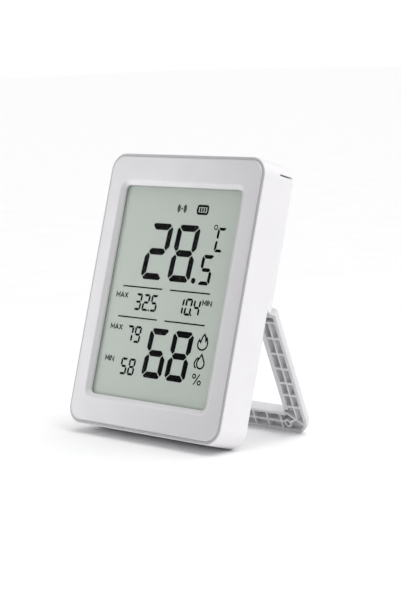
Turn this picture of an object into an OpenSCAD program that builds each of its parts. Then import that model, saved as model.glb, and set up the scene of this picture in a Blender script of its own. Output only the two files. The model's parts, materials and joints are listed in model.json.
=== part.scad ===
// Tabletop thermo-hygrometer: a white two-part case with a large segment
// display, leaning back on a U-shaped kickstand that folds flush into its back.
// Every piece is drawn upright, with the case standing on its lower edge and
// the rim of the case at y = 0, and placed() then leans it back on the table.

/* [Case] */
// Width of the case
body_w = 86; // [84:0.5:96]
// Height of the case
body_h = 112.7; // [111:0.1:122]
// Depth from the front rim to the back
body_d = 20.6; // [20.4:0.1:23]
// Corner radius of the outline
corner_r = 7.3; // [6.5:0.1:9]
// Radius of the rounded rear edge
rear_r = 6; // [4.5:0.1:6.4]
// Wall thickness
wall = 1.8; // [1.4:0.1:2]

/* [Front panel] */
// Width of the rim that shows around the front panel
rim_w = 1.3; // [1:0.1:1.6]
// How far the front panel stands proud of the rim
face_proud = 0.6; // [0.2:0.1:1]
// Depth at which the front panel ends behind the rim
panel_back = 1.4; // [1.2:0.1:1.6]
// Width of the display window
window_w = 65.6; // [60:0.1:67]
// Height of the display window
window_h = 86.6; // [80:0.1:88]
// Height of the window's lower edge
window_z = 12.9; // [12.5:0.1:13.5]
// Width of the bevel around the window
bevel_w = 2; // [1:0.1:2.6]

/* [Kickstand] */
// Opening angle of the stand
stand_angle = 37.3; // [30:0.1:38]
// Thickness of the stand
stand_t = 5.6; // [5:0.1:5.8]
// Width of each leg
leg_w = 10.3; // [9:0.1:11]
// Height of the foot bar
bar_h = 8.4; // [7.5:0.1:9]
// Height of the hinge axis above the lower edge of the case
hinge_z = 60.8; // [58:0.1:64]
// Radius of the trunnions that the stand turns on
trunnion_r = 1.5; // [1.2:0.1:1.8]

/* [Batteries] */
// Radius of an AAA cell
cell_r = 5.25; // [5.1:0.05:5.25]
// Length of an AAA cell
cell_l = 44.5; // [43.5:0.1:44.5]
// Height of the middle of the battery bay
bay_z = 33; // [31:0.5:35]

/* [Hidden] */
$fn = 48;

eps = 0.01;
fit = 0.05;            // radial running clearance of round parts
gap = 0.2;             // clearance between flat parts
edge = 0.4;            // chamfer on the outer edges of rim and panel

// Kickstand, folded flat: its recess, its hinge and the leaning line
stand_front = body_d - stand_t;
recess_y = stand_front - gap;
hinge_y = body_d - stand_t / 2;
stand_z0 = 0.6;
leg_x0 = body_w / 2 - 0.1 - leg_w;
leg_top = 54.4;
step_r = hinge_z - leg_top - gap;
island_x = leg_x0 - 0.5;
island_z = stand_z0 + bar_h + 0.5;
island_r = 1.5;
knuckle_w = 4.4;
slot_w = knuckle_w + 1.9;
slot_top = hinge_z + 4.1;
trunnion_l = 1.6;

// The foot's front edge when the stand is open, then the lean that puts it and
// the case's lower rear edge on the same table
foot_dy = stand_front - hinge_y;
foot_dz = stand_z0 - hinge_z;
foot_y = hinge_y + foot_dy * cos(stand_angle) - foot_dz * sin(stand_angle);
foot_z = hinge_z + foot_dy * sin(stand_angle) + foot_dz * cos(stand_angle);
lean = atan2(foot_z, foot_y - recess_y);
lift = recess_y * sin(lean);

// Furthest point back: the rounded rear edge of the open foot bar
heel_dy = body_d - rear_r - hinge_y;
heel_dz = rear_r - hinge_z;
heel_y = hinge_y + heel_dy * cos(stand_angle) - heel_dz * sin(stand_angle);
heel_z = hinge_z + heel_dy * sin(stand_angle) + heel_dz * cos(stand_angle);
back_y = heel_y * cos(lean) + heel_z * sin(lean) + rear_r;
// Furthest point forward: the lower front edge of the front panel
panel_low = rim_w + 0.05;
front_y = -face_proud * cos(lean) + (panel_low + edge) * sin(lean);

// Front panel and what is stacked behind it
panel_w = body_w - 2 * panel_low;
panel_h = body_h - 2 * panel_low;
panel_r = corner_r - rim_w;
window_mid = window_z + window_h / 2;
lens_y0 = panel_back;
lens_t = 0.5;
film_y0 = 2;
film_t = 0.2;
glass_t = 0.7;
glass_y0 = film_y0 + film_t;
rear_glass_y0 = glass_y0 + glass_t;
reflector_y0 = rear_glass_y0 + glass_t;
glass_w = window_w + 4;
glass_h = window_h + 7.4;
glass_z0 = window_mid - glass_h / 2;
ledge_h = 2.8;
board_y0 = 6;
board_t = 1;
board_back = board_y0 + board_t;
board_w = 80.4;
board_z0 = 8.6;
board_z1 = 104.6;
holder_w = 73;

// Screws
board_screw_x = 38.6;
board_screw_z = [17, 97];
case_screw_x = 37;
case_screw_z = 5.2;
case_boss_back = 9;

// Battery bay
bay_hw = 26.5;
bay_hh = 11.6;
bay_floor = board_back + 0.3;
bay_floor_t = 0.7;
bay_wall = 1.2;
cell_dz = 5.75;
cell_y = bay_floor + bay_floor_t + 0.2 + cell_r;
door_t = 1.6;
door_hw = 28;
door_z0 = bay_z - bay_hh - 1.8;
door_z1 = bay_z + bay_hh + 1.9;
door_gap = 0.15;
door_in = body_d - door_t;
tab_x = 18;
tab_w = 7;
tab_y0 = 17.4;

// Button and switch
button_z = 82;
button_r = 3.2;
switch_h = 3.5;
plunger_top = board_back + 4.3;

// ---------------------------------------------------------------- helpers

// Leans the upright object back until case and foot stand on z = 0
module placed()
    translate([0, -(front_y + back_y) / 2, lift]) rotate([-lean, 0, 0]) children();

// Turns the folded stand out to its open position
module opened()
    translate([0, hinge_y, hinge_z]) rotate([stand_angle, 0, 0])
        translate([0, -hinge_y, -hinge_z]) children();

module both_sides() {
    children();
    mirror([1, 0, 0]) children();
}

// Rounded rectangle, centred in x and standing on its lower edge
module outline(w, h, r) {
    translate([-w / 2 + r, 0]) square([w - 2 * r, h]);
    translate([-w / 2, r]) square([w, h - 2 * r]);
    for (sx = [-1, 1], z = [r, h - r]) translate([sx * (w / 2 - r), z]) circle(r);
}

// A flat upright shape given front and back depth
module upright(y0, y1)
    translate([0, y1, 0]) rotate([90, 0, 0]) linear_extrude(y1 - y0) children();

// A rounded plate standing up, centred in x, with its lower edge at z0
module plate(w, h, r, y0, y1, z0)
    upright(y0, y1) translate([0, z0]) outline(w, h, r);

// A box given by its low and high corners
module block(low, high) translate(low) cube(high - low);

// A cylinder along y
module rod_y(x, z, r, y0, y1) translate([x, y0, z]) rotate([-90, 0, 0]) cylinder(r = r, h = y1 - y0);

// A cylinder along x
module rod_x(y, z, r, x0, x1) translate([x0, y, z]) rotate([0, 90, 0]) cylinder(r = r, h = x1 - x0);

// Outer form of the case, drawn smaller by inset; the front edge has a chamfer
module case_form(inset, y0, chamfer) {
    r = corner_r - inset;
    rr = rear_r - inset;
    d = body_d - inset;
    steps = 10;
    hull() for (sx = [-1, 1], z = [corner_r, body_h - corner_r])
        translate([sx * (body_w / 2 - corner_r), 0, z]) rotate([-90, 0, 0])
            rotate_extrude() polygon(concat(
                [[0, y0], [r - chamfer, y0], [r, y0 + chamfer]],
                [for (i = [0 : steps]) let (a = 90 * i / steps)
                    [r - rr + rr * cos(a), d - rr + rr * sin(a)]],
                [[0, d]]
            ));
}

// Round wire swept along points, as one closed solid
module wire(path, r, sides) {
    n = len(path);
    function unit(v) = v / norm(v);
    function along(i) = unit(path[min(i + 1, n - 1)] - path[max(i - 1, 0)]);
    rings = [for (i = [0 : n - 1])
        let (t = along(i), u = unit(cross(t, [1, 0.02, 0.01])), v = cross(t, u))
        for (k = [0 : sides - 1]) path[i] + r * (cos(360 * k / sides) * u + sin(360 * k / sides) * v)];
    walls = [for (i = [0 : n - 2], k = [0 : sides - 1]) let (k2 = (k + 1) % sides)
        [i * sides + k, (i + 1) * sides + k, (i + 1) * sides + k2, i * sides + k2]];
    ends = [[for (k = [0 : sides - 1]) k], [for (k = [sides - 1 : -1 : 0]) (n - 1) * sides + k]];
    polyhedron(rings, concat(walls, ends));
}

// ---------------------------------------------------------------- case

// Where the folded stand lies, with a round step that clears its legs
module stand_recess() {
    block([-body_w, recess_y, -5], [body_w, body_d + 5, island_z]);
    both_sides() difference() {
        block([island_x, recess_y, -5], [body_w, body_d + 5, hinge_z]);
        rod_x(hinge_y, hinge_z, step_r, island_x - 1, body_w + 1);
    }
    both_sides() block([island_x, recess_y, leg_top - 8], [island_x + slot_w, body_d + 5, slot_top]);
    // Rounded corners of the island between the legs
    both_sides() difference() {
        block([island_x - island_r, recess_y, island_z - eps], [island_x + eps, body_d + 5, island_z + island_r]);
        rod_y(island_x - island_r, island_z + island_r, island_r, recess_y - 1, body_d + 6);
    }
}

// Space inside the case, kept clear of the walls of the stand recess
module inner_space() {
    recess_wall_y = recess_y - wall;
    difference() {
        case_form(wall, panel_back - eps, 0);
        both_sides() block([island_x - wall, recess_wall_y, -1], [body_w, body_d, slot_top + wall]);
        block([-body_w, recess_wall_y, -1], [body_w, body_d, island_z + wall]);
    }
}

module bay_walls() {
    block([-bay_hw - bay_wall, bay_floor, bay_z - bay_hh - bay_wall],
          [bay_hw + bay_wall, door_in - fit, bay_z + bay_hh + bay_wall]);
    flange = 1.6;
    block([-door_hw - flange, body_d - wall - 2, door_z0 - flange],
          [door_hw + flange, door_in - fit, door_z1 + flange + 1]);
}

module bay_space() {
    block([-bay_hw, bay_floor + bay_floor_t, bay_z - bay_hh], [bay_hw, body_d + 1, bay_z + bay_hh]);
    block([-door_hw - door_gap, door_in - fit, door_z0 - door_gap],
          [door_hw + door_gap, body_d + 1, door_z1 + door_gap]);
    // Pockets for the door's tabs, open to the bay and to the door's seat
    for (sx = [-1, 1]) {
        x0 = sx * tab_x - tab_w / 2 - gap;
        x1 = sx * tab_x + tab_w / 2 + gap;
        block([x0, tab_y0 - 0.8, bay_z + bay_hh - 1], [x1, body_d - wall, door_z1 + 2.2]);
        block([x0, tab_y0 - 0.8, bay_z + bay_hh - 1], [x1, door_in, door_z1 + door_gap]);
    }
    // Slots for the contacts' solder tails
    for (z = [bay_z - cell_dz, bay_z + cell_dz])
        block([-bay_hw, bay_floor - 1, z - 1.6], [-bay_hw + 1.2, bay_floor + 1, z + 1.6]);
}

// Air slots that run along the side and round the rear corner
module vents() {
    vent_h = 0.7;
    for (z = [body_h - 5, body_h - 8.2]) {
        start_y = z > body_h - 6 ? 9.2 : body_d - 2.4;
        inner_x = z > body_h - 6 ? 31 : 20;
        both_sides() block([inner_x, start_y, z - vent_h / 2], [body_w, body_d + 1, z + vent_h / 2]);
    }
}

module rear_housing() color([0.95, 0.95, 0.96]) placed() difference() {
    union() {
        difference() {
            case_form(0, 0, edge);
            inner_space();
        }
        bay_walls();
        both_sides() rod_y(case_screw_x, case_screw_z, 2.6, case_boss_back + gap, recess_y - 1);
        rod_y(0, button_z, button_r + 1.4, body_d - wall - 1.2, body_d - wall + eps);
    }
    plate(panel_w + 0.1, panel_h + 0.1, panel_r + 0.05, -1, panel_back, rim_w);
    stand_recess();
    bay_space();
    vents();
    both_sides() rod_x(hinge_y, hinge_z, trunnion_r + fit, island_x - wall - 1, island_x + 1);
    both_sides() rod_y(case_screw_x, case_screw_z, 1.15, case_boss_back - 1, recess_y);
    both_sides() rod_y(case_screw_x, case_screw_z, 2.1, recess_y - 3.4, recess_y + 1);
    rod_y(0, button_z, button_r + 0.15, body_d - wall - 2, body_d + 1);
    rod_y(0, island_z, 7, body_d - 1, body_d + 1);
}

module front_bezel() color([0.86, 0.86, 0.88]) placed() {
    straight_y = 0.4;
    difference() {
        union() {
            hull() {
                plate(panel_w - 2 * edge, panel_h - 2 * edge, panel_r - edge,
                      -face_proud, panel_back, panel_low + edge);
                plate(panel_w, panel_h, panel_r, edge - face_proud, panel_back, panel_low);
            }
            both_sides() for (z = board_screw_z)
                rod_y(board_screw_x, z, 1.9, panel_back - eps, board_y0);
            both_sides() rod_y(case_screw_x, case_screw_z, 2.2, panel_back - eps, case_boss_back);
        }
        // Window, with a bevel that opens towards the front
        plate(window_w, window_h, 2.3, -2, panel_back + 1, window_z);
        hull() {
            plate(window_w, window_h, 2.3, straight_y - eps, straight_y, window_z);
            plate(window_w + 2 * bevel_w, window_h + 2 * bevel_w, 2.3 + bevel_w,
                  -face_proud - 0.1, -face_proud, window_z - bevel_w);
        }
        both_sides() for (z = board_screw_z) rod_y(board_screw_x, z, 0.8, 2.2, board_y0 + 1);
        both_sides() rod_y(case_screw_x, case_screw_z, 1, 2.4, case_boss_back + 1);
    }
}

// Battery door; it tilts about its upper outer edge, so its tabs stay clear
module battery_door() color([0.95, 0.95, 0.96]) placed() difference() {
    union() {
        block([-door_hw, door_in, door_z0], [door_hw, body_d, door_z1]);
        for (sx = [-1, 1]) {
            block([sx * tab_x - tab_w / 2, tab_y0, door_z1 - 1.6],
                  [sx * tab_x + tab_w / 2, door_in + eps, door_z1]);
            block([sx * tab_x - tab_w / 2, tab_y0, door_z1 - eps],
                  [sx * tab_x + tab_w / 2, body_d - wall - gap, door_z1 + 1.9]);
        }
        // Ribs that keep the cells down
        for (x = [-12, 0, 12]) block([x - 0.5, door_in - 0.25, door_z0 + 4], [x + 0.5, door_in + eps, door_z1 - 4]);
    }
    // Finger grip of five grooves
    for (i = [-2 : 2])
        block([-7, body_d - 0.5, door_z0 + 5 + i * 1.6 - 0.4], [7, body_d + 1, door_z0 + 5 + i * 1.6 + 0.4]);
}

module pairing_button() color([0.93, 0.93, 0.94]) placed() {
    rod_y(0, button_z, button_r, body_d - wall - 1.3, body_d + 0.2);
    rod_y(0, button_z, button_r + 1, body_d - wall - 2.2, body_d - wall - 1.2 - 0.1);
    rod_y(0, button_z, 1.6, plunger_top, body_d - wall - 2);
}

// ---------------------------------------------------------------- display

module display_lens() color([0.9, 0.95, 0.95, 0.35]) placed()
    plate(window_w + 4.6, window_h + 4.6, 3, lens_y0, lens_y0 + lens_t, window_z - 2.3);

module front_polariser() color([0.6, 0.64, 0.6, 0.5]) placed()
    block([-glass_w / 2 + 0.5, film_y0, glass_z0 + 1], [glass_w / 2 - 0.5, film_y0 + film_t, glass_z0 + glass_h - 0.6]);

module lcd_front_glass() color([0.75, 0.82, 0.78, 0.5]) placed()
    block([-glass_w / 2, glass_y0, glass_z0], [glass_w / 2, rear_glass_y0, glass_z0 + glass_h]);

module lcd_rear_glass() color([0.75, 0.82, 0.78, 0.5]) placed()
    block([-glass_w / 2, rear_glass_y0, glass_z0 + ledge_h],
          [glass_w / 2, reflector_y0, glass_z0 + glass_h]);

module lcd_reflector() color([0.72, 0.76, 0.72]) placed()
    block([-glass_w / 2 + 0.5, reflector_y0, glass_z0 + ledge_h + 0.5],
          [glass_w / 2 - 0.5, reflector_y0 + film_t, glass_z0 + glass_h - 0.6]);

module lcd_holder() color("white") placed() difference() {
    block([-holder_w / 2, glass_y0, glass_z0 - 1.6], [holder_w / 2, board_y0, glass_z0 + glass_h + 1.4]);
    block([-glass_w / 2 - gap, glass_y0 - 1, glass_z0 - gap],
          [glass_w / 2 + gap, reflector_y0 + film_t + 0.1, glass_z0 + glass_h + gap]);
    block([-glass_w / 2 + 3, 0, glass_z0 + ledge_h + 3], [glass_w / 2 - 3, board_y0 + 1, glass_z0 + glass_h - 3]);
    block([-31, 0, glass_z0 + 0.3], [31, board_y0 + 1, glass_z0 + 2.5]);
}

module zebra_strip() color([0.35, 0.35, 0.38]) placed()
    block([-30.5, rear_glass_y0, glass_z0 + 0.5], [30.5, board_y0, glass_z0 + 2.3]);

// ---------------------------------------------------------------- electronics

module main_board() color([0.1, 0.35, 0.2]) placed() difference() {
    block([-board_w / 2, board_y0, board_z0], [board_w / 2, board_back, board_z1]);
    both_sides() for (z = board_screw_z) rod_y(board_screw_x, z, 0.9, board_y0 - 1, board_back + 1);
    // Slots that keep the board's heat away from the sensor
    block([29, 0, 99], [30, body_d, board_z1 + 1]);
    block([29, 0, 92.5], [36, body_d, 93.5]);
}

module display_driver() color([0.12, 0.12, 0.13]) placed() {
    size = 10;
    block([4, board_back + 0.1, 58], [4 + size, board_back + 1.3, 58 + size]);
    for (i = [-5 : 5], side = [-1, 1])
        block([9 + side * (size / 2 + 0.4) - 0.41, board_back, 63 + i * 0.8 - 0.15],
              [9 + side * (size / 2 + 0.4) + 0.41, board_back + 0.5, 63 + i * 0.8 + 0.15]);
}

module radio_module() color([0.1, 0.3, 0.35]) placed()
    block([-30, board_back, 80], [-14, board_back + 0.8, 103]);

module radio_shield() color([0.78, 0.78, 0.8]) placed()
    block([-29, board_back + 0.8, 81], [-15, board_back + 2.8, 95.5]);

module humidity_sensor() color([0.9, 0.9, 0.88]) placed() difference() {
    block([33, board_back, 99.5], [35.6, board_back + 0.9, 102.1]);
    rod_y(34.3, 100.8, 0.5, board_back + 0.5, board_back + 2);
}

// Capacitors and resistors, one loose row above the battery bay
module board_parts() color([0.75, 0.66, 0.5]) placed() {
    for (i = [0 : 5]) block([-24 + i * 4, board_back, 56], [-22.4 + i * 4, board_back + 0.8, 56.9]);
    for (i = [0 : 3]) block([20 + i * 3, board_back, 60], [20.9 + i * 3, board_back + 0.8, 61.6]);
    rod_y(-8, 66, 2, board_back, board_back + 5);
}

module tact_switch() color([0.15, 0.15, 0.16]) placed() difference() {
    block([-3, board_back, button_z - 3], [3, board_back + switch_h, button_z + 3]);
    rod_y(0, button_z, 1.5 + fit, board_back + 1.5, board_back + switch_h + 1);
}

module switch_plunger() color([0.9, 0.88, 0.8]) placed()
    rod_y(0, button_z, 1.5, board_back + 2.2, plunger_top);

// ---------------------------------------------------------------- batteries

// One cell along x, its positive end towards side
module cell(z, side) {
    nub = 1;
    placed() {
        rod_x(cell_y, z, cell_r, -cell_l / 2 + (side < 0 ? nub : 0), cell_l / 2 - (side > 0 ? nub : 0));
        rod_x(cell_y, z, 1.9, side > 0 ? 0 : -cell_l / 2, side > 0 ? cell_l / 2 : 0);
    }
}

module battery_lower() color([0.25, 0.3, 0.35]) cell(bay_z - cell_dz, 1);

module battery_upper() color([0.25, 0.3, 0.35]) cell(bay_z + cell_dz, -1);

contact_t = 0.4;
contact_x = bay_hw - contact_t;
tail_w = 2;

// Conical spring between a contact plate and a cell's flat end
module cell_spring(z, side) {
    turns = 3.5;
    steps = 42;
    wire_r = 0.3;
    reach = contact_x - 0.2 - cell_l / 2 - wire_r - 0.03;
    wire([for (i = [0 : steps]) let (t = i / steps, r = 3.6 - 1.6 * t, a = 360 * turns * t)
        [side * (contact_x - 0.2 - reach * t), cell_y + r * cos(a), z + r * sin(a)]], wire_r, 8);
}

module contact_plate(z0, z1, side)
    block([min(side * contact_x, side * bay_hw), 9.4, z0], [max(side * contact_x, side * bay_hw), 17.4, z1]);

module solder_tail(z)
    block([-bay_hw, board_back, z - tail_w / 2], [-contact_x, 10, z + tail_w / 2]);

module negative_contact() color([0.8, 0.8, 0.82]) placed() {
    z = bay_z - cell_dz;
    contact_plate(z - 4.5, z + 4.5, -1);
    cell_spring(z, -1);
    solder_tail(z);
}

module positive_contact() color([0.8, 0.8, 0.82]) placed() {
    z = bay_z + cell_dz;
    contact_plate(z - 4.5, z + 4.5, -1);
    rod_x(cell_y, z, 2.2, -contact_x - 0.1, -cell_l / 2);
    solder_tail(z);
}

module bridge_contact() color([0.8, 0.8, 0.82]) placed() {
    contact_plate(bay_z - cell_dz - 4.5, bay_z + cell_dz + 4.5, 1);
    cell_spring(bay_z + cell_dz, 1);
    rod_x(cell_y, bay_z - cell_dz, 2.2, cell_l / 2, contact_x + 0.1);
}

// ---------------------------------------------------------------- screws

// Pan-head screw along y, its head's underside at seat_y
module screw(x, z, r, head_r, head_h, tip_y, seat_y) difference() {
    union() {
        rod_y(x, z, r, tip_y, seat_y + eps);
        rod_y(x, z, head_r, seat_y, seat_y + head_h);
    }
    for (a = [0, 90]) translate([x, seat_y + head_h, z]) rotate([0, a, 0])
        cube([head_r * 1.1, head_h, head_r * 0.3], center = true);
}

module board_screws() color([0.7, 0.7, 0.72]) placed()
    both_sides() for (z = board_screw_z) screw(board_screw_x, z, 0.8, 1.6, 1, 2.4, board_back);

module case_screws() color([0.7, 0.7, 0.72]) placed()
    both_sides() screw(case_screw_x, case_screw_z, 1, 1.9, 1.3, 2.6, recess_y - 3.4);

// ---------------------------------------------------------------- kickstand

bar_top = stand_z0 + bar_h;
rib_t = 0.9;
leg_rib_x = leg_x0 + 5.6;
bar_rib_z = stand_z0 + 4.4;
leg_ribs = [50.9, 43.8, 36.8, 30.1, 23.5, 18, 12.6];
bar_pitch = 7.3;
boss_x = 32.6;
boss_z = 4.4;
knot = [38.2, 7.1];

// Outline of the folded stand, seen from behind
module stand_outline() difference() {
    union() {
        translate([0, stand_z0]) outline(body_w - 0.2, 30, 6.8);
        for (sx = [-1, 1]) translate([sx > 0 ? leg_x0 : -leg_x0 - leg_w, 20]) square([leg_w, leg_top - 20]);
    }
    translate([0, bar_top]) outline(2 * leg_x0, 80, 2);
}

// A straight rib between two points
module rib(a, b) translate(a) rotate(atan2(b[1] - a[1], b[0] - a[0])) translate([0, -rib_t / 2])
    square([norm(b - a), rib_t]);

// Ribs that cross the hollow front of the stand, right half
module stand_ribs() {
    for (z = leg_ribs) translate([leg_x0, z - rib_t / 2]) square([leg_w, rib_t]);
    rib([leg_rib_x, leg_ribs[0]], [leg_rib_x, leg_ribs[6] - 2]);
    rib([leg_rib_x, leg_ribs[6] - 2], knot);
    rib([leg_x0 + 0.4, bar_top + 0.4], [42, 4.4]);
    rib([-1, bar_rib_z], [boss_x, bar_rib_z]);
    rib([boss_x, boss_z], knot);
    for (i = [0 : 4]) rib([i * bar_pitch, stand_z0], [i * bar_pitch, bar_top]);
    translate([boss_x, boss_z]) circle(1.9);
}

// Hollows between rims and ribs, right half; outer ones are shallower
module stand_hollows() {
    front = stand_front - 1;
    deep = stand_front + 3.8;
    shallow = stand_front + 2.3;
    upright(front, shallow) difference() {
        union() {
            translate([leg_rib_x, bar_top - 1]) square([leg_x0 + leg_w - 1.5 - leg_rib_x, leg_top - bar_top - 0.2]);
            translate([-1, stand_z0 + 1.3]) square([40, bar_rib_z - stand_z0 - 1.3]);
            translate([leg_x0, stand_z0 + 1.3]) square([leg_w - 1.5, 9]);
        }
        translate([leg_x0 + leg_w - 6, stand_z0]) difference() {
            translate([1.8, -1]) square([6, 7]);
            translate([-0.3, 6.1]) circle(4.8);
            translate([-6, 5]) square([10.5, 4]);
        }
        stand_ribs();
    }
    upright(front, deep) difference() {
        union() {
            translate([leg_x0 + 2.2, bar_top - 1]) square([leg_rib_x - leg_x0 - 2.2, leg_top - bar_top - 0.2]);
            translate([-1, bar_rib_z]) square([leg_x0 + 4, bar_top - 1 - bar_rib_z]);
        }
        stand_ribs();
    }
    rod_y(boss_x, boss_z, 1, front, shallow);
}

// Knuckle with its trunnion and the heel that stops the stand when it is open
module stand_knuckle() {
    block([leg_x0, stand_front, leg_top - eps], [leg_x0 + knuckle_w, body_d, hinge_z]);
    rod_x(hinge_y, hinge_z, stand_t / 2, leg_x0, leg_x0 + knuckle_w);
    rod_x(hinge_y, hinge_z, trunnion_r, leg_x0 - trunnion_l, leg_x0 + 1);
    translate([leg_x0, hinge_y, hinge_z]) rotate([-stand_angle, 0, 0])
        translate([0, -(hinge_y - recess_y) + fit, 0]) cube([knuckle_w, hinge_y - recess_y - fit, 2]);
}

module kickstand() color([0.93, 0.93, 0.93]) placed() opened() {
    difference() {
        intersection() {
            upright(stand_front, body_d) stand_outline();
            case_form(0, 0, 0);
        }
        both_sides() stand_hollows();
    }
    both_sides() stand_knuckle();
}

rear_housing();
front_bezel();
display_lens();
front_polariser();
lcd_front_glass();
lcd_rear_glass();
lcd_reflector();
lcd_holder();
zebra_strip();
main_board();
display_driver();
radio_module();
radio_shield();
humidity_sensor();
board_parts();
tact_switch();
switch_plunger();
pairing_button();
battery_door();
battery_lower();
battery_upper();
negative_contact();
positive_contact();
bridge_contact();
board_screws();
case_screws();
kickstand();
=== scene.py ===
"""Looks of a tabletop thermo-hygrometer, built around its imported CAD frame: a white
case with a pearl front panel, a segment display and a ribbed kickstand behind it."""

import json
import math

import bmesh
import bpy
from mathutils import Matrix, Vector


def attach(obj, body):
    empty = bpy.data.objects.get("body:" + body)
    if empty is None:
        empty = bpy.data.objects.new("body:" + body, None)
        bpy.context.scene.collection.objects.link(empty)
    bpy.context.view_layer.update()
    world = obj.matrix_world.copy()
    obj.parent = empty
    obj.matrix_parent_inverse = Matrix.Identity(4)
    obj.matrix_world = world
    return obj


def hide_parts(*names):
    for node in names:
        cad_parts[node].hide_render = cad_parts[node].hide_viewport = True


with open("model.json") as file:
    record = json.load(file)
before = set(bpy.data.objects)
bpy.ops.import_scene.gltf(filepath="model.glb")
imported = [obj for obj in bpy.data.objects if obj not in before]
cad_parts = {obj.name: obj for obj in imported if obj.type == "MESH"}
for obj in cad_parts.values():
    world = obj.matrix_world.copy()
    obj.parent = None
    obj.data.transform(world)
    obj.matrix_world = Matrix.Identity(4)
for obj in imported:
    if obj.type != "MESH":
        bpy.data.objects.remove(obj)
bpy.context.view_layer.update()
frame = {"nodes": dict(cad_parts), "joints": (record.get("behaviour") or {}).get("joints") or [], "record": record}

# ------------------------------------------------------------------ case frame
# Pieces are drawn in millimetres with the case upright: x right, y back, z up,
# the rim of the case at y = 0 and its lower edge at z = 0.

MM = 0.001
HINGE_AXIS = Vector((0, 17.8, 60.8))
DOOR_AXIS = Vector((0, 20.6, 46.5))
JOINTS = {joint["name"]: joint for joint in frame["joints"]}


def case_to_row():
    """Matrix from the upright case in millimetres to the row frame in metres, from two joint axes."""
    hinge = Vector(JOINTS["stand_hinge"]["pos_m"])
    door = Vector(JOINTS["door_tilt"]["pos_m"])
    drawn = DOOR_AXIS - HINGE_AXIS
    placed = door - hinge
    lean = math.atan2(drawn.z, drawn.y) - math.atan2(placed.z, placed.y)
    turn = Matrix.Rotation(-lean, 4, "X") @ Matrix.Scale(MM, 4)
    return Matrix.Translation(hinge) @ turn @ Matrix.Translation(-HINGE_AXIS)


ROW = case_to_row()

# ------------------------------------------------------------------ mesh helpers

SHARP_ANGLE = math.radians(30)
CORNER_STEPS = 20


def smooth(mesh):
    """Smooth shading with sharp edges kept."""
    mesh.polygons.foreach_set("use_smooth", [True] * len(mesh.polygons))
    mesh.set_sharp_from_angle(angle=SHARP_ANGLE)
    mesh.update()


def weigh_normals(obj):
    """Keeps flat faces flat beside rounded edges."""
    weights = obj.modifiers.new("weighted_normals", "WEIGHTED_NORMAL")
    weights.keep_sharp = True


def add_piece(name, points, faces, material, body):
    """A mesh piece from points in the case frame, riding on a CAD body."""
    mesh = bpy.data.meshes.new(name)
    mesh.from_pydata([ROW @ Vector(point) for point in points], [], faces)
    bm = bmesh.new()
    bm.from_mesh(mesh)
    bmesh.ops.recalc_face_normals(bm, faces=bm.faces)
    bm.to_mesh(mesh)
    bm.free()
    smooth(mesh)
    mesh.materials.append(material)
    obj = bpy.data.objects.new(name, mesh)
    bpy.context.scene.collection.objects.link(obj)
    weigh_normals(obj)
    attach(obj, body)
    return obj


def loft(rings, closed=False):
    """Points and faces through rings of equally many points; open ends get caps."""
    count = len(rings[0])
    points = [point for ring in rings for point in ring]
    pairs = [(i, i + 1) for i in range(len(rings) - 1)]
    if closed:
        pairs.append((len(rings) - 1, 0))
    faces = [
        (a * count + k, a * count + (k + 1) % count, b * count + (k + 1) % count, b * count + k)
        for a, b in pairs
        for k in range(count)
    ]
    if not closed:
        faces.append(tuple(range(count)))
        faces.append(tuple(range((len(rings) - 1) * count, len(rings) * count)))
    return points, faces


def rounded_ring(width, height, radius, depth, low):
    """Rounded rectangle at one depth, centred in x, with its lower edge at low."""
    right = width / 2 - radius
    top = low + height - radius
    bottom = low + radius
    centres = [(right, top), (-right, top), (-right, bottom), (right, bottom)]
    ring = []
    for quarter, (x, z) in enumerate(centres):
        for i in range(CORNER_STEPS + 1):
            angle = math.radians(90 * (quarter + i / CORNER_STEPS))
            ring.append((x + radius * math.cos(angle), depth, z + radius * math.sin(angle)))
    return ring


def curve_points(start, control, end, steps):
    """Points of a quadratic curve between two profile points."""
    points = []
    for i in range(steps + 1):
        t = i / steps
        weights = ((1 - t) ** 2, 2 * t * (1 - t), t * t)
        corners = zip(weights, (start, control, end))
        weighted = [(weight * point[0], weight * point[1]) for weight, point in corners]
        points.append((sum(x for x, _ in weighted), sum(y for _, y in weighted)))
    return points


def join_shapes(shapes):
    """One list of points and faces from several."""
    points, faces = [], []
    for shape_points, shape_faces in shapes:
        base = len(points)
        points += shape_points
        faces += [tuple(base + i for i in face) for face in shape_faces]
    return points, faces


# ------------------------------------------------------------------ materials

# Radius of the moulded edges, in metres
EDGE_RADIUS = 0.00022
# Depth of the case's front rim that is painted grey as shade, in millimetres
RIM_SHADE_DEPTH = 0.12
# Share of the light that the coated window mirrors at grazing angles
COATING_SHARE = 0.006
# Noise scales of moulded plastic, per metre, and the height of its grain, in metres
CLOUD_SCALE = 55
GLOSS_SCALE = 420
GRAIN_SCALE = 2900
GRAIN_HEIGHT = 0.000012
PLASTIC_SPECULAR = 0.45
# Drawn metal's lines are finer along the depth than along the width and the height
METAL_STRETCH = (1, 12, 1)
# Spacing of the panel's flakes and of the board's traces, as cells per metre
FLAKE_SCALE = 5200
TRACE_SCALE = 260
# Darkest and lightest colour of the display's ink
INK_DARK = (0.0015, 0.0015, 0.002)
INK_LIGHT = (0.003, 0.003, 0.0035)
BEVEL_SAMPLES = 8


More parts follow.
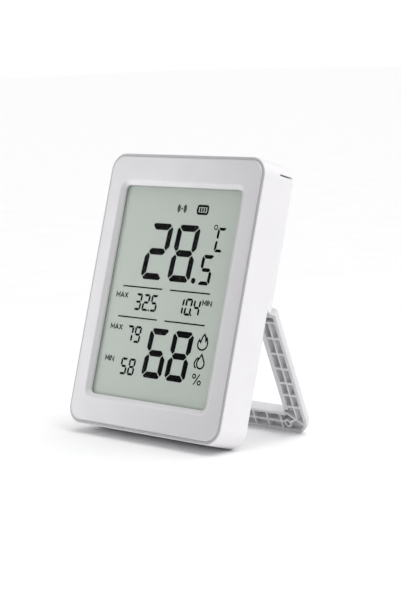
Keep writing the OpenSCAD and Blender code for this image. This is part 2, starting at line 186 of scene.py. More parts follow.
class Nodes:
    """A new material's node tree, with short ways to add what this script uses."""

    def __init__(self, name):
        self.material = bpy.data.materials.new(name)
        self.material.use_nodes = True
        self.tree = self.material.node_tree
        self.shader = self.tree.nodes["Principled BSDF"]
        self.place = self.tree.nodes.new("ShaderNodeTexCoord").outputs["Object"]

    def link(self, source, target):
        self.tree.links.new(source, target)

    def set(self, **values):
        for key, value in values.items():
            self.shader.inputs[key.replace("_", " ")].default_value = value

    def noise(self, per_metre, detail=2.0, stretch=None):
        node = self.tree.nodes.new("ShaderNodeTexNoise")
        node.inputs["Scale"].default_value = per_metre
        node.inputs["Detail"].default_value = detail
        place = self.place
        if stretch:
            mapping = self.tree.nodes.new("ShaderNodeMapping")
            mapping.inputs["Scale"].default_value = stretch
            self.link(place, mapping.inputs["Vector"])
            place = mapping.outputs["Vector"]
        self.link(place, node.inputs["Vector"])
        return node.outputs["Fac"]

    def spread(self, value, low, high, start=0.3, end=0.7):
        """Maps a noise value from start..end to low..high."""
        node = self.tree.nodes.new("ShaderNodeMapRange")
        self.link(value, node.inputs["Value"])
        node.inputs["From Min"].default_value = start
        node.inputs["From Max"].default_value = end
        node.inputs["To Min"].default_value = low
        node.inputs["To Max"].default_value = high
        return node.outputs["Result"]

    def blend(self, factor, first, second):
        """Colour between two colours."""
        node = self.tree.nodes.new("ShaderNodeMix")
        node.data_type = "RGBA"
        self.link(factor, node.inputs["Factor"])
        node.inputs["A"].default_value = (*first, 1)
        node.inputs["B"].default_value = (*second, 1)
        return node.outputs["Result"]

    def bump(self, height, distance, edge=0.0):
        """Relief from a height, over edges shaded as if rounded by the given radius in metres."""
        node = self.tree.nodes.new("ShaderNodeBump")
        node.inputs["Distance"].default_value = distance
        self.link(height, node.inputs["Height"])
        if edge:
            rounding = self.tree.nodes.new("ShaderNodeBevel")
            rounding.samples = BEVEL_SAMPLES
            rounding.inputs["Radius"].default_value = edge
            self.link(rounding.outputs["Normal"], node.inputs["Normal"])
        self.link(node.outputs["Normal"], self.shader.inputs["Normal"])


def shade(colour, factor):
    """A lighter or darker tone of a colour."""
    return tuple(min(1.0, channel * factor) for channel in colour)


def moulded_plastic(name, colour, roughness, edge=0.0):
    """Satin moulded plastic: fine spark-eroded grain, faint cloudiness, uneven gloss."""
    nodes = Nodes(name)
    cloud = nodes.noise(CLOUD_SCALE, detail=3)
    nodes.link(
        nodes.blend(nodes.spread(cloud, 0, 1), shade(colour, 0.97), shade(colour, 1.03)),
        nodes.shader.inputs["Base Color"],
    )
    gloss = nodes.noise(GLOSS_SCALE, detail=4)
    nodes.link(nodes.spread(gloss, roughness - 0.05, roughness + 0.05), nodes.shader.inputs["Roughness"])
    nodes.bump(nodes.noise(GRAIN_SCALE, detail=3), GRAIN_HEIGHT, edge)
    nodes.set(Specular_IOR_Level=PLASTIC_SPECULAR)
    return nodes.material


def case_depth(nodes):
    """Depth behind the rim of the case, in millimetres, at the shaded point."""
    ahead = ROW.to_3x3() @ Vector((0, 1, 0))
    ahead.normalize()
    dot = nodes.tree.nodes.new("ShaderNodeVectorMath")
    dot.operation = "DOT_PRODUCT"
    nodes.link(nodes.place, dot.inputs[0])
    dot.inputs[1].default_value = ahead / MM
    start = nodes.tree.nodes.new("ShaderNodeMath")
    start.operation = "SUBTRACT"
    nodes.link(dot.outputs["Value"], start.inputs[0])
    start.inputs[1].default_value = ahead.dot(ROW.translation) / MM
    return start.outputs["Value"]


def case_plastic(name, colour, rim_shade_colour):
    """Satin white plastic whose front rim, seen round the panel, is painted light grey as shade."""
    nodes = Nodes(name)
    cloud = nodes.spread(nodes.noise(CLOUD_SCALE, detail=3), 0, 1)
    white = nodes.blend(cloud, shade(colour, 0.985), shade(colour, 1.015))
    # Painted shade: the front rim round the panel is painted grey where its shade falls.
    rim = nodes.spread(case_depth(nodes), 1, 0, RIM_SHADE_DEPTH, 2 * RIM_SHADE_DEPTH)
    mix = nodes.tree.nodes.new("ShaderNodeMix")
    mix.data_type = "RGBA"
    nodes.link(rim, mix.inputs["Factor"])
    nodes.link(white, mix.inputs["A"])
    mix.inputs["B"].default_value = (*rim_shade_colour, 1)
    nodes.link(mix.outputs["Result"], nodes.shader.inputs["Base Color"])
    gloss = nodes.noise(GLOSS_SCALE, detail=4)
    nodes.link(nodes.spread(gloss, 0.37, 0.47), nodes.shader.inputs["Roughness"])
    nodes.bump(nodes.noise(GRAIN_SCALE, detail=3), GRAIN_HEIGHT, EDGE_RADIUS)
    nodes.set(Specular_IOR_Level=PLASTIC_SPECULAR)
    return nodes.material


def pearl_plastic(name, colour):
    """Pearl grey lacquer: tiny bright flakes in a satin coat."""
    nodes = Nodes(name)
    flakes = nodes.tree.nodes.new("ShaderNodeTexVoronoi")
    flakes.inputs["Scale"].default_value = FLAKE_SCALE
    nodes.link(nodes.place, flakes.inputs["Vector"])
    sparkle = nodes.spread(flakes.outputs["Color"], 0, 1, 0, 1)
    nodes.link(
        nodes.blend(sparkle, shade(colour, 0.96), shade(colour, 1.04)),
        nodes.shader.inputs["Base Color"],
    )
    nodes.link(nodes.spread(nodes.noise(160, detail=4), 0.36, 0.44), nodes.shader.inputs["Roughness"])
    nodes.bump(nodes.noise(3600, detail=2), 0.000008)
    nodes.set(Metallic=0.18, Coat_Weight=0.12, Coat_Roughness=0.3)
    return nodes.material


def display_film(name, colour):
    """Front film of the display: pale grey-green with a fine sparkle."""
    nodes = Nodes(name)
    sparkle = nodes.spread(nodes.noise(9000, detail=1), 0, 1)
    nodes.link(
        nodes.blend(sparkle, shade(colour, 0.985), shade(colour, 1.015)),
        nodes.shader.inputs["Base Color"],
    )
    nodes.link(nodes.spread(nodes.noise(300), 0.42, 0.5), nodes.shader.inputs["Roughness"])
    nodes.bump(nodes.noise(12000, detail=1), 0.000002)
    nodes.set(Specular_IOR_Level=0.3)
    return nodes.material


def clear_window(name):
    """Thin coated window that lets light through and mirrors a little at grazing angles."""
    nodes = Nodes(name)
    tree = nodes.tree
    clear = tree.nodes.new("ShaderNodeBsdfTransparent")
    clear.inputs["Color"].default_value = (0.985, 0.992, 0.988, 1)
    mirror = tree.nodes.new("ShaderNodeBsdfGlossy")
    nodes.link(nodes.spread(nodes.noise(70), 0.03, 0.06), mirror.inputs["Roughness"])
    slope = tree.nodes.new("ShaderNodeLayerWeight")
    share = tree.nodes.new("ShaderNodeMath")
    share.operation = "MULTIPLY"
    share.inputs[1].default_value = COATING_SHARE
    nodes.link(slope.outputs["Facing"], share.inputs[0])
    mix = tree.nodes.new("ShaderNodeMixShader")
    nodes.link(share.outputs["Value"], mix.inputs["Fac"])
    nodes.link(clear.outputs["BSDF"], mix.inputs[1])
    nodes.link(mirror.outputs["BSDF"], mix.inputs[2])
    nodes.link(mix.outputs["Shader"], tree.nodes["Material Output"].inputs["Surface"])
    tree.nodes.remove(nodes.shader)
    return nodes.material


def segment_ink(name):
    """Dark liquid crystal segments."""
    nodes = Nodes(name)
    cloud = nodes.spread(nodes.noise(2500), 0, 1)
    nodes.link(nodes.blend(cloud, INK_DARK, INK_LIGHT), nodes.shader.inputs["Base Color"])
    nodes.link(nodes.spread(nodes.noise(300), 0.55, 0.65), nodes.shader.inputs["Roughness"])
    nodes.set(Specular_IOR_Level=0.03)
    return nodes.material


def brushed_metal(name, colour, roughness):
    """Plated or drawn metal with fine lines along one direction."""
    nodes = Nodes(name)
    lines = nodes.noise(1400, detail=4, stretch=METAL_STRETCH)
    nodes.link(
        nodes.blend(nodes.spread(lines, 0, 1), shade(colour, 0.9), shade(colour, 1.08)),
        nodes.shader.inputs["Base Color"],
    )
    nodes.link(nodes.spread(lines, roughness - 0.08, roughness + 0.1), nodes.shader.inputs["Roughness"])
    nodes.bump(lines, 0.000006)
    nodes.set(Metallic=1.0)
    return nodes.material


def solder_resist(name, colour, trace):
    """Circuit board lacquer over faint copper traces."""
    nodes = Nodes(name)
    cells = nodes.tree.nodes.new("ShaderNodeTexVoronoi")
    cells.distance = "CHEBYCHEV"
    cells.feature = "DISTANCE_TO_EDGE"
    cells.inputs["Scale"].default_value = TRACE_SCALE
    nodes.link(nodes.place, cells.inputs["Vector"])
    traces = nodes.spread(cells.outputs["Distance"], 1, 0, 0.03, 0.05)
    nodes.link(nodes.blend(traces, colour, trace), nodes.shader.inputs["Base Color"])
    nodes.bump(traces, 0.00002)
    nodes.set(Roughness=0.35, Coat_Weight=0.3)
    return nodes.material


CASE_WHITE = (0.865, 0.852, 0.872)
# Grey painted on the case's front rim as shade.
RIM_PAINTED_SHADE = (0.52, 0.515, 0.53)
# One material per slot of the record
MATERIALS = {
    "white_case": case_plastic("case_white_painted_rim_shade", CASE_WHITE, RIM_PAINTED_SHADE),
    "pearl_panel": pearl_plastic("panel_pearl_grey", (0.69, 0.682, 0.695)),
    "clear_lens": clear_window("window_clear"),
    "polariser": display_film("display_grey_green", (0.55, 0.592, 0.55)),
    "display_glass": display_film("display_glass", (0.46, 0.50, 0.455)),
    "reflector": display_film("display_reflector", (0.5, 0.54, 0.5)),
    "segment_ink": segment_ink("segment_ink"),
    "white_frame": moulded_plastic("frame_natural_white", (0.78, 0.78, 0.75), 0.5),
    "silicone": moulded_plastic("silicone_grey", (0.10, 0.10, 0.11), 0.6),
    "board_green": solder_resist("board_green", (0.012, 0.10, 0.035), (0.03, 0.17, 0.06)),
    "board_blue": solder_resist("board_blue", (0.01, 0.035, 0.09), (0.02, 0.06, 0.14)),
    "chip_black": moulded_plastic("chip_black", (0.02, 0.02, 0.022), 0.5),
    "tin_plate": brushed_metal("tin_plate", (0.62, 0.62, 0.63), 0.35),
    "sensor_white": moulded_plastic("sensor_white", (0.75, 0.75, 0.72), 0.5),
    "ceramic_tan": moulded_plastic("ceramic_tan", (0.35, 0.24, 0.13), 0.5),
    "white_button": moulded_plastic("button_satin_white", (0.80, 0.80, 0.82), 0.38, EDGE_RADIUS),
    "cell_sleeve": moulded_plastic("cell_sleeve_slate", (0.035, 0.055, 0.085), 0.3),
    "nickel_plate": brushed_metal("nickel_plate", (0.66, 0.64, 0.60), 0.25),
    "screw_steel": brushed_metal("screw_zinc", (0.52, 0.52, 0.53), 0.3),
    # Painted shade: the stand's white is darker than the case's, for the shade it lies in behind the case.
    "stand_plastic": moulded_plastic("stand_white_painted_shade", (0.735, 0.735, 0.745), 0.45, EDGE_RADIUS),
}

# ------------------------------------------------------------------ CAD nodes that stay

# Points of a node's faces that lie this close are one point, in metres
SEAM_WIDTH = 1e-6


def smooth_roundings(obj):
    """Joins the seams between the node's faces and smooths every edge that isn't sharp."""
    weld = obj.modifiers.new("join_seams", "WELD")
    weld.merge_threshold = SEAM_WIDTH
    split = obj.modifiers.new("keep_sharp_edges", "EDGE_SPLIT")
    split.use_edge_sharp = False
    split.split_angle = SHARP_ANGLE
    weigh_normals(obj)


def finish_cad_nodes():
    """Gives every CAD node the material of its slot and smooth roundings."""
    slots = {part["node"]: part["material_slot"] for part in frame["record"]["subparts"]}
    for name, obj in frame["nodes"].items():
        obj.data.materials.clear()
        obj.data.materials.append(MATERIALS[slots[name]])
        obj.data.polygons.foreach_set("use_smooth", [True] * len(obj.data.polygons))
        smooth_roundings(obj)


finish_cad_nodes()

# ------------------------------------------------------------------ front panel

PANEL_W, PANEL_H, PANEL_R = 83.3, 110.0, 6.0
PANEL_LOW = 1.35
PANEL_FRONT, PANEL_BACK = -0.6, 1.4
WINDOW_W, WINDOW_H, WINDOW_R = 65.6, 86.6, 2.3
WINDOW_LOW = 12.9
BEVEL_W, BEVEL_BACK = 2.0, 0.4
# Rounding of the panel's outer edge, of the bevel's shoulder and of the window's lip
EDGE_R = 0.55
SHOULDER_SOFT = 0.5
LIP_SOFT = 0.22
EDGE_STEPS = 8


def outer_ring(inset, depth):
    """Ring inside the panel's outline."""
    return rounded_ring(
        PANEL_W - 2 * inset, PANEL_H - 2 * inset, PANEL_R - inset, depth, PANEL_LOW + inset
    )


def window_ring(outset, depth):
    """Ring round the window's opening."""
    return rounded_ring(
        WINDOW_W + 2 * outset, WINDOW_H + 2 * outset, WINDOW_R + outset, depth, WINDOW_LOW - outset
    )


def front_panel():
    """One closed band: outer edge, face, bevel round the window and back."""
    slope = (BEVEL_BACK - PANEL_FRONT) / BEVEL_W
    rings = [outer_ring(0, PANEL_BACK)]
    for i in range(EDGE_STEPS + 1):
        angle = math.radians(90 * i / EDGE_STEPS)
        inset = EDGE_R * (1 - math.cos(angle))
        rings.append(outer_ring(inset, PANEL_FRONT + EDGE_R * (1 - math.sin(angle))))
    shoulder = curve_points(
        (BEVEL_W + SHOULDER_SOFT, PANEL_FRONT),
        (BEVEL_W, PANEL_FRONT),
        (BEVEL_W - SHOULDER_SOFT, PANEL_FRONT + slope * SHOULDER_SOFT),
        EDGE_STEPS,
    )
    lip = curve_points(
        (LIP_SOFT, BEVEL_BACK - slope * LIP_SOFT),
        (0, BEVEL_BACK),
        (0, BEVEL_BACK + LIP_SOFT),
        EDGE_STEPS,
    )
    rings += [window_ring(outset, depth) for outset, depth in shoulder + lip]
    rings.append(window_ring(0, PANEL_BACK))
    points, faces = loft(rings, closed=True)
    obj = add_piece("front_panel", points, faces, MATERIALS["pearl_panel"], "case")
    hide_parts("front_bezel")


front_panel()

# ------------------------------------------------------------------ battery cells

CELL_Y, CELL_R, CELL_L = 13.45, 5.25, 44.5
# Length of the positive nub
NUB_L = 1
CELL_STEPS = 64
# Height of each cell, and the side its positive nub points to
CELLS = {"battery_lower": (27.25, 1), "battery_upper": (38.75, -1)}


def turned(profile, z, side):
    """A body turned about a cell's axis from (distance along it, radius) pairs."""
    rings = []
    for along, radius in profile:
        turn = [2 * math.pi * i / CELL_STEPS for i in range(CELL_STEPS)]
        rings.append(
            [(side * along, CELL_Y + radius * math.cos(a), z + radius * math.sin(a)) for a in turn]
        )
    return loft(rings)


def battery_cell(node, z, side):
    """A cell in its printed sleeve, shrunk over the rims, with bare nickel ends."""
    end = CELL_L / 2
    shoulder = end - NUB_L
    sleeve = [
        (-end + 0.06, 4.3),
        (-end + 0.02, 4.8),
        (-end + 0.1, 5.1),
        (-end + 0.4, CELL_R),
        (shoulder - 0.4, CELL_R),
        (shoulder - 0.1, 5.1),
        (shoulder - 0.02, 4.8),
        (shoulder - 0.06, 4.3),
    ]
    points, faces = turned(sleeve, z, side)
    body = add_piece(node + "_sleeve", points, faces, MATERIALS["cell_sleeve"], "case")
    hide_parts(node)
    negative = [(-end + 0.05, 4.2), (-end + 0.01, 4.1), (-end + 0.01, 2.9), (-end + 0.04, 2.8)]
    positive = [(shoulder - 0.05, 4.2), (shoulder, 4.1), (shoulder, 2.2), (shoulder + 0.2, 1.9)]
    positive += [(end - 0.2, 1.85), (end - 0.02, 1.6), (end - 0.02, 0.3)]
    points, faces = join_shapes([turned(negative, z, side), turned(positive, z, side)])
    add_piece(node + "_ends", points, faces, MATERIALS["nickel_plate"], "case")


for node, (height, side) in CELLS.items():
    battery_cell(node, height, side)

# ------------------------------------------------------------------ display segments

INK_FRONT, INK_BACK = 1.965, 2.0
SLANT = math.tan(math.radians(3.9))
# The whole layout lies this far right of the coordinates given below
LAYOUT_SHIFT = 0.3
# Cut at a digit's outer corners, as a share of its stroke
CORNER_SHARE = 0.75
CURVE_STEPS = 6
DISC_STEPS = 28
# A ribbon's mitre stops growing when the corner gets sharper than this cosine
SHARPEST_MITRE = 0.45

# Segments lit for each symbol: a is the top, then clockwise to f, and g is the middle
SEGMENTS = {
    "0": "abcdef",
    "1": "bc",
    "2": "abged",
    "3": "abgcd",
    "4": "fgbc",
    "5": "afgcd",
    "6": "afgecd",
    "7": "abc",
    "8": "abcdefg",
    "9": "abcdfg",
    "C": "afed",
}


def cut(outline, nx, nz, limit):
    """The part of a convex outline where nx * x + nz * z >= limit."""
    kept = []
    for i, here in enumerate(outline):
        there = outline[(i + 1) % len(outline)]
        a = nx * here[0] + nz * here[1] - limit
        b = nx * there[0] + nz * there[1] - limit
        if a >= 0:
            kept.append(here)
        if (a > 0 > b) or (a < 0 < b):
            t = a / (a - b)
            kept.append((here[0] + t * (there[0] - here[0]), here[1] + t * (there[1] - here[1])))
    return kept


def rectangle(x0, z0, x1, z1):
    return [(x0, z0), (x1, z0), (x1, z1), (x0, z1)]


def segment_outline(letter, w, h, stroke, gap):
    """One of the seven segments, upright, in a cell with its corner at the origin."""
    side = gap * math.sqrt(0.5)
    corner = stroke * CORNER_SHARE
    if letter == "g":
        mid = h / 2
        half = stroke / 2
        shape = rectangle(0, mid - half, w, mid + half)
        for up in (1, -1):
            shape = cut(shape, 1, -up, half - up * mid + side)
            shape = cut(shape, -1, -up, half - w - up * mid + side)
        return shape
    if letter in "ad":
        shape = rectangle(0, h - stroke, w, h)
        shape = cut(shape, 1, 1, h + side)
        shape = cut(shape, -1, 1, h - w + side)
        shape = cut(shape, 1, -1, corner - h)
        shape = cut(shape, -1, -1, corner - w - h)
    else:
        shape = rectangle(0, h / 2 + gap / 2, stroke, h)
        shape = cut(shape, -1, -1, side - h)
        shape = cut(shape, 1, -1, corner - h)
        shape = cut(shape, -1, 1, h / 2 - stroke / 2 + side)
        shape = cut(shape, 1, 1, h / 2 + gap / 2 + corner)
    if letter in "bc":
        shape = [(w - x, z) for x, z in reversed(shape)]
    if letter in "ced":
        shape = [(x, h - z) for x, z in reversed(shape)]
    return shape


def slanted(outline, x, z):
    """Moves an upright outline to its place on the display, leaning to the right."""
    return [(x + px + pz * SLANT, z + pz) for px, pz in outline]


def digit(symbol, x, z, w, h, stroke, gap):
    """Outlines of a symbol's segments, with its lower left corner at x, z."""
    return [slanted(segment_outline(s, w, h, stroke, gap), x, z) for s in SEGMENTS[symbol]]


def number(text, x, z, w, h, stroke, gap, pitch):
    """Outlines of several symbols in a row, one pitch apart."""
    outlines = []
    for i, symbol in enumerate(text):
        outlines += digit(symbol, x + i * pitch, z, w, h, stroke, gap)
    return outlines


def disc(x, z, radius):
    turn = 2 * math.pi / DISC_STEPS
    angles = [turn * i for i in range(DISC_STEPS)]
    return [(x + radius * math.cos(a), z + radius * math.sin(a)) for a in angles]


def slab(outline):
    """Ink with the outline of a convex polygon."""
    count = len(outline)
    points = [(x, y, z) for y in (INK_FRONT, INK_BACK) for x, z in outline]
    faces = [tuple(range(count)), tuple(range(count, 2 * count))]
    faces += [(i, (i + 1) % count, count + (i + 1) % count, count + i) for i in range(count)]
    return points, faces


def ribbon(path, width, closed=False):
    """Ink line of constant width along a path, with mitred corners."""
    count = len(path)
    left, right = [], []
    for i, (x, z) in enumerate(path):
        before = path[i - 1] if closed or i > 0 else path[i]
        after = path[(i + 1) % count] if closed or i < count - 1 else path[i]
        ahead = Vector((after[0] - x, after[1] - z))
        behind = Vector((x - before[0], z - before[1]))
        ahead = ahead.normalized() if ahead.length else behind.normalized()
        behind = behind.normalized() if behind.length else ahead
        along = (ahead + behind).normalized()
        normal = Vector((-along.y, along.x))
        reach = width / 2 / max(SHARPEST_MITRE, normal.dot(Vector((-ahead.y, ahead.x))))
        left.append((x + normal.x * reach, z + normal.y * reach))
        right.append((x - normal.x * reach, z - normal.y * reach))
    rings = []
    for (left_x, left_z), (right_x, right_z) in zip(left, right):
        front = [(left_x, INK_FRONT, left_z), (right_x, INK_FRONT, right_z)]
        back = [(right_x, INK_BACK, right_z), (left_x, INK_BACK, left_z)]
        rings.append(front + back)
    return loft(rings, closed)


def arc(x, z, radius, start, end, steps):
    """Points along part of a circle, between two angles in degrees."""
    angles = [math.radians(start + (end - start) * i / steps) for i in range(steps + 1)]
    return [(x + radius * math.cos(a), z + radius * math.sin(a)) for a in angles]


def curve_value(before, start, end, after, t):
    """One coordinate of a Catmull-Rom curve at the share t of the way from start to end."""
    linear = end - before
    square = 2 * before - 5 * start + 4 * end - after
    cube = 3 * start - before - 3 * end + after
    return 0.5 * (2 * start + linear * t + square * t * t + cube * t**3)


def smooth_path(points):
    """A curve through the given points, with its ends kept."""
    padded = [points[0], *points, points[-1]]
    path = []
    for i in range(1, len(padded) - 2):
        xs, zs = zip(*padded[i - 1 : i + 3])
        for k in range(CURVE_STEPS):
            t = k / CURVE_STEPS
            path.append((curve_value(*xs, t), curve_value(*zs, t)))
    path.append(points[-1])
    return path


# Lines of each letter in a unit square
LETTERS = {
    "M": [[(0, 0), (0, 1), (0.5, 0.3), (1, 1), (1, 0)]],
    "A": [[(0, 0), (0.5, 1), (1, 0)], [(0.22, 0.32), (0.78, 0.32)]],
    "X": [[(0, 1), (0.5, 0.53), (1, 1)], [(0, 0), (0.5, 0.47), (1, 0)]],
    "I": [[(0, 0), (0, 1)]],
    "N": [[(0, 0), (0, 1), (1, 0), (1, 1)]],
}
LABEL_H = 2.0
LABEL_STROKE = 0.46
LETTER_WIDTHS = {"M": 1.9, "A": 1.8, "X": 1.7, "I": 0.0, "N": 1.7}
LETTER_GAP = 0.62


def label(text, x, z):
    """Small capitals drawn as lines."""
    shapes = []
    for letter in text:
        wide = LETTER_WIDTHS[letter]
        for line in LETTERS[letter]:
            path = [(x + px * wide, z + pz * LABEL_H) for px, pz in line]
            shapes.append(ribbon(path, LABEL_STROKE))
        x += wide + LETTER_GAP
    return shapes


def drop_path(x, z, radius, tip):
    """Closed teardrop: a round bottom and two flanks that meet in a tip above it."""
    half = math.degrees(math.acos(radius / tip))
    round_part = arc(x, z, radius, 90 + half, 450 - half, 30)
    return round_part + [(x, z + tip)]


def circle_line(x, z, radius, width):
    """Ink ring round a point."""
    step = 360 / CIRCLE_SIDES
    return ribbon(arc(x, z, radius, 0, 360 - step, CIRCLE_SIDES - 1), width, closed=True)


def add_ink(name, shapes):
    """One piece of the display's ink, on the case."""
    moved = []
    for points, faces in shapes:
        moved.append(([(x + LAYOUT_SHIFT, y, z) for x, y, z in points], faces))
    points, faces = join_shapes(moved)
    add_piece(name, points, faces, MATERIALS["segment_ink"], "case")


# Digit sizes: width, height, stroke and gap between segments
BIG_TEMPERATURE = (12.6, 23.1, 2.65, 0.45)
BIG_HUMIDITY = (11.3, 20.1, 2.55, 0.45)
TENTHS = (6.6, 12.1, 1.5, 0.28)
UNIT = (4.8, 9.8, 1.15, 0.3)
SMALL = (3.8, 6.9, 0.95, 0.16)
SMALL_PITCH = 4.5
# Lower edges of the rows, from the top of the display down
TEMPERATURE_Z = 61.6
RANGE_Z = 48.7
HUMIDITY_Z = 22.3
RULE_STROKE = 0.56
ICON_STROKE = 0.66
CIRCLE_SIDES = 24


def temperature_digits():
    outlines = number("28", -17.3, TEMPERATURE_Z, *BIG_TEMPERATURE, pitch=15.2)
    outlines += digit("5", 14.9, TEMPERATURE_Z - 0.3, *TENTHS)
    outlines.append(disc(12.7, TEMPERATURE_Z + 1.1, 1.15))
    add_ink("temperature_digits", [slab(o) for o in outlines])


def humidity_digits():
    outlines = number("68", -7.2, HUMIDITY_Z, *BIG_HUMIDITY, pitch=13.15)
    add_ink("humidity_digits", [slab(o) for o in outlines])


def small_digits():
    """Highest and lowest temperature side by side, humidity one above the other."""
    places = (("325", -18.0, RANGE_Z), ("104", 5.9, RANGE_Z), ("79", -19.7, 35.45), ("58", -19.9, 22.2))
    outlines = []
    for text, x, z in places:
        outlines += number(text, x, z, *SMALL, pitch=SMALL_PITCH)
    outlines += [disc(x, RANGE_Z + 0.4, 0.42) for x in (-9.35, 14.5)]
    add_ink("small_digits", [slab(o) for o in outlines])


def unit_marks():
    """Degree sign and C beside the temperature, percent sign beside the humidity."""
    shapes = [slab(o) for o in digit("C", 20.8, 74.7, *UNIT)]
    shapes.append(circle_line(20.1, 84.5, 0.86, 0.42))
    percent_x, percent_z = 23.7, 24.4
    slash = [(percent_x - 1.35, percent_z - 2.15), (percent_x + 1.35, percent_z + 2.15)]
    shapes.append(ribbon(slash, 0.54))
    for side in (-1, 1):
        shapes.append(circle_line(percent_x + side * 1.55, percent_z - side * 1.2, 0.78, 0.52))
    add_ink("unit_marks", shapes)


def divider_lines():
    shapes = []
    for z in (58.1, 45.6):
        for x0, x1 in ((-26.1, -3.5), (0.8, 23.1)):
            shapes.append(ribbon([(x0, z), (x1, z)], RULE_STROKE))
    add_ink("divider_lines", shapes)


def range_labels():
    left_x = -29.1
    range_z = 53.4
    places = (
        ("MAX", left_x, range_z),
        ("MIN", 19.9, range_z),
        ("MAX", left_x, 40.2),
        ("MIN", left_x, 27.1),
    )
    shapes = []
    for text, x, z in places:
        shapes += label(text, x, z)
    add_ink("range_labels", shapes)


def radio_waves(x, z):
    """Three waves on each side of a dot."""
    dot_radius = 0.42
    stroke = 0.42
    shapes = [slab(disc(x, z, dot_radius))]
    for radius in (1.25, 1.8, 2.35):
        for middle in (0, 180):
            shapes.append(ribbon(arc(x, z, radius, middle - 45, middle + 45, 10), stroke))
    return shapes


def battery_mark(x, z):
    """Rounded outline with a nub at its left and three bars inside."""
    half_w, half_h, radius, stroke = 2.75, 1.55, 0.7, 0.95
    nub_start, nub_end, nub_half = 0.24, 0.62, 0.62
    bar_half_w, bar_half_h, bar_pitch = 0.4, 0.85, 1.3
    outline = []
    for quarter, (sx, sz) in enumerate(((1, 1), (-1, 1), (-1, -1), (1, -1))):
        centre = (x + sx * (half_w - radius), z + sz * (half_h - radius))
        outline += arc(*centre, radius, 90 * quarter, 90 * quarter + 90, 5)
    left = x - half_w
    nub = rectangle(left - nub_end, z - nub_half, left - nub_start, z + nub_half)
    shapes = [ribbon(outline, stroke, closed=True), slab(nub)]
    for i in (-1, 0, 1):
        bar = x + i * bar_pitch
        outline = rectangle(bar - bar_half_w, z - bar_half_h, bar + bar_half_w, z + bar_half_h)
        shapes.append(slab(outline))
    return shapes


def flame_mark(x, z):
    """Outline of a flame with a small tongue at its left."""
    stretches = [
        [(0.4, 3.15), (-0.5, 2.1), (-0.9, 0.9), (-1.2, -0.1)],
        [(-1.2, -0.1), (-2.0, 0.8)],
        [(-2.0, 0.8), (-2.55, -0.6), (-2.2, -2.1), (-1.2, -2.85), (0.1, -3.05)],
        [(0.1, -3.05), (1.5, -2.6), (2.45, -1.4), (2.5, 0.2), (1.9, 1.7)],
        [(1.9, 1.7), (1.5, 0.55)],
        [(1.5, 0.55), (1.15, 1.9), (0.4, 3.15)],
    ]
    outline = []
    for stretch in stretches:
        outline += smooth_path(stretch)[:-1]
    return [ribbon([(x + px, z + pz) for px, pz in outline], ICON_STROKE, closed=True)]


def drops_mark(x, z):
    """Outline of a drop, with the visible side of a second one behind it."""
    front = ribbon(drop_path(x, z, 1.95, 3.6), ICON_STROKE, closed=True)
    side = [(-1.55, 2.3), (-2.7, 1.2), (-3.25, -0.1), (-2.9, -1.3), (-2.0, -1.85)]
    behind = ribbon(smooth_path([(x + px, z + pz) for px, pz in side]), ICON_STROKE)
    return [front, behind]


def status_icons():
    add_ink("status_icons", radio_waves(-0.3, 91.2) + battery_mark(11.3, 91.1))


def comfort_icons():
    """A flame for dry air and drops for moist air."""
    add_ink("comfort_icons", flame_mark(23.7, 39.1) + drops_mark(24.3, 30.7))


temperature_digits()
humidity_digits()
small_digits()
unit_marks()
divider_lines()
range_labels()
status_icons()
comfort_icons()

# ------------------------------------------------------------------ stage, light and camera

# Camera round the upright case: azimuth to the right, elevation, roll, and in
# millimetres its distance, the point it aims at and its lens
CAMERA_AZIMUTH = math.radians(44.626)
CAMERA_ELEVATION = math.radians(-4.011)
CAMERA_ROLL = math.radians(9.9205)
CAMERA_DISTANCE = 740.8
CAMERA_AIM = Vector((13.25, 0, 54.84))
CAMERA_LENS = 113.1
CAMERA_SHIFT = (0.0229, -0.0015)
# Half the floor's side, in metres
FLOOR_HALF = 6.0


def add_camera():
    """Camera at a viewing angle given round the upright case, turned into the row frame."""
    flat = math.cos(CAMERA_ELEVATION)
    back = Vector(
        (
            math.sin(CAMERA_AZIMUTH) * flat,
            -math.cos(CAMERA_AZIMUTH) * flat,
            math.sin(CAMERA_ELEVATION),
        )
    )
    side = Vector((0, 0, 1)).cross(back).normalized()
    up = back.cross(side)
    right = side * math.cos(CAMERA_ROLL) + up * math.sin(CAMERA_ROLL)
    top = up * math.cos(CAMERA_ROLL) - side * math.sin(CAMERA_ROLL)
    turn = ROW.to_3x3().normalized()
    axes = Matrix((turn @ right, turn @ top, turn @ back)).transposed()
    data = bpy.data.cameras.new("camera")
    data.lens = CAMERA_LENS
    data.shift_x, data.shift_y = CAMERA_SHIFT
    data.clip_start = 0.01
    camera = bpy.data.objects.new("camera", data)
    place = ROW @ (CAMERA_AIM + back * CAMERA_DISTANCE)
    camera.matrix_world = Matrix.Translation(place) @ axes.to_4x4()
    bpy.context.scene.collection.objects.link(camera)
    bpy.context.scene.camera = camera


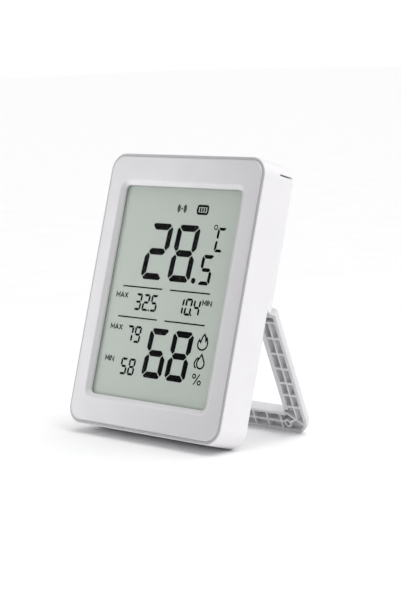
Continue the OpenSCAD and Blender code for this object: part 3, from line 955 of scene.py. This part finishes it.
def add_floor():
    """Pale paper that the object stands on."""
    corners = [(x * FLOOR_HALF, y * FLOOR_HALF, 0) for x, y in ((-1, -1), (1, -1), (1, 1), (-1, 1))]
    mesh = bpy.data.meshes.new("floor")
    mesh.from_pydata(corners, [], [(0, 1, 2, 3)])
    nodes = Nodes("floor_paper")
    nodes.link(
        nodes.blend(nodes.spread(nodes.noise(30), 0, 1), (0.94, 0.94, 0.94), (0.96, 0.96, 0.96)),
        nodes.shader.inputs["Base Color"],
    )
    nodes.set(Roughness=0.8, Specular_IOR_Level=0.1)
    mesh.materials.append(nodes.material)
    floor = bpy.data.objects.new("floor", mesh)
    bpy.context.scene.collection.objects.link(floor)


def add_area_light(name, place, aim, size, power):
    """Soft box that lights the object and stays out of the picture."""
    data = bpy.data.lights.new(name, "AREA")
    data.shape = "RECTANGLE"
    data.size, data.size_y = size
    data.energy = power
    light = bpy.data.objects.new(name, data)
    light.location = place
    light.rotation_euler = (Vector(aim) - Vector(place)).to_track_quat("-Z", "Y").to_euler()
    light.visible_camera = False
    bpy.context.scene.collection.objects.link(light)


def add_world():
    """Soft ambient light; the camera itself sees plain white behind the floor."""
    world = bpy.data.worlds.new("studio")
    world.use_nodes = True
    nodes = world.node_tree.nodes
    links = world.node_tree.links
    ambient = nodes["Background"]
    ambient.inputs["Color"].default_value = (0.99, 0.985, 1.0, 1)
    ambient.inputs["Strength"].default_value = 0.35
    backdrop = nodes.new("ShaderNodeBackground")
    backdrop.inputs["Color"].default_value = (1, 1, 1, 1)
    path = nodes.new("ShaderNodeLightPath")
    mix = nodes.new("ShaderNodeMixShader")
    links.new(path.outputs["Is Camera Ray"], mix.inputs["Fac"])
    links.new(ambient.outputs["Background"], mix.inputs[1])
    links.new(backdrop.outputs["Background"], mix.inputs[2])
    links.new(mix.outputs["Shader"], nodes["World Output"].inputs["Surface"])
    bpy.context.scene.world = world


def add_lights():
    """A wide soft sun from above, and a box on each side."""
    centre = (0, 0, 0.06)
    sun = bpy.data.lights.new("soft_top", "SUN")
    sun.energy = 2.4
    sun.angle = math.radians(70)
    lamp = bpy.data.objects.new("soft_top", sun)
    lamp.rotation_euler = Vector((-0.3, -0.25, -1)).to_track_quat("-Z", "Y").to_euler()
    bpy.context.scene.collection.objects.link(lamp)
    add_area_light("right_box", (0.75, -0.05, 0.3), centre, (0.6, 0.7), 0.7)
    add_area_light("left_box", (-0.15, -0.12, 0.1), centre, (0.06, 0.2), 0.085)


add_floor()
add_world()
add_lights()
add_camera()
bpy.context.scene.view_settings.view_transform = "Standard"
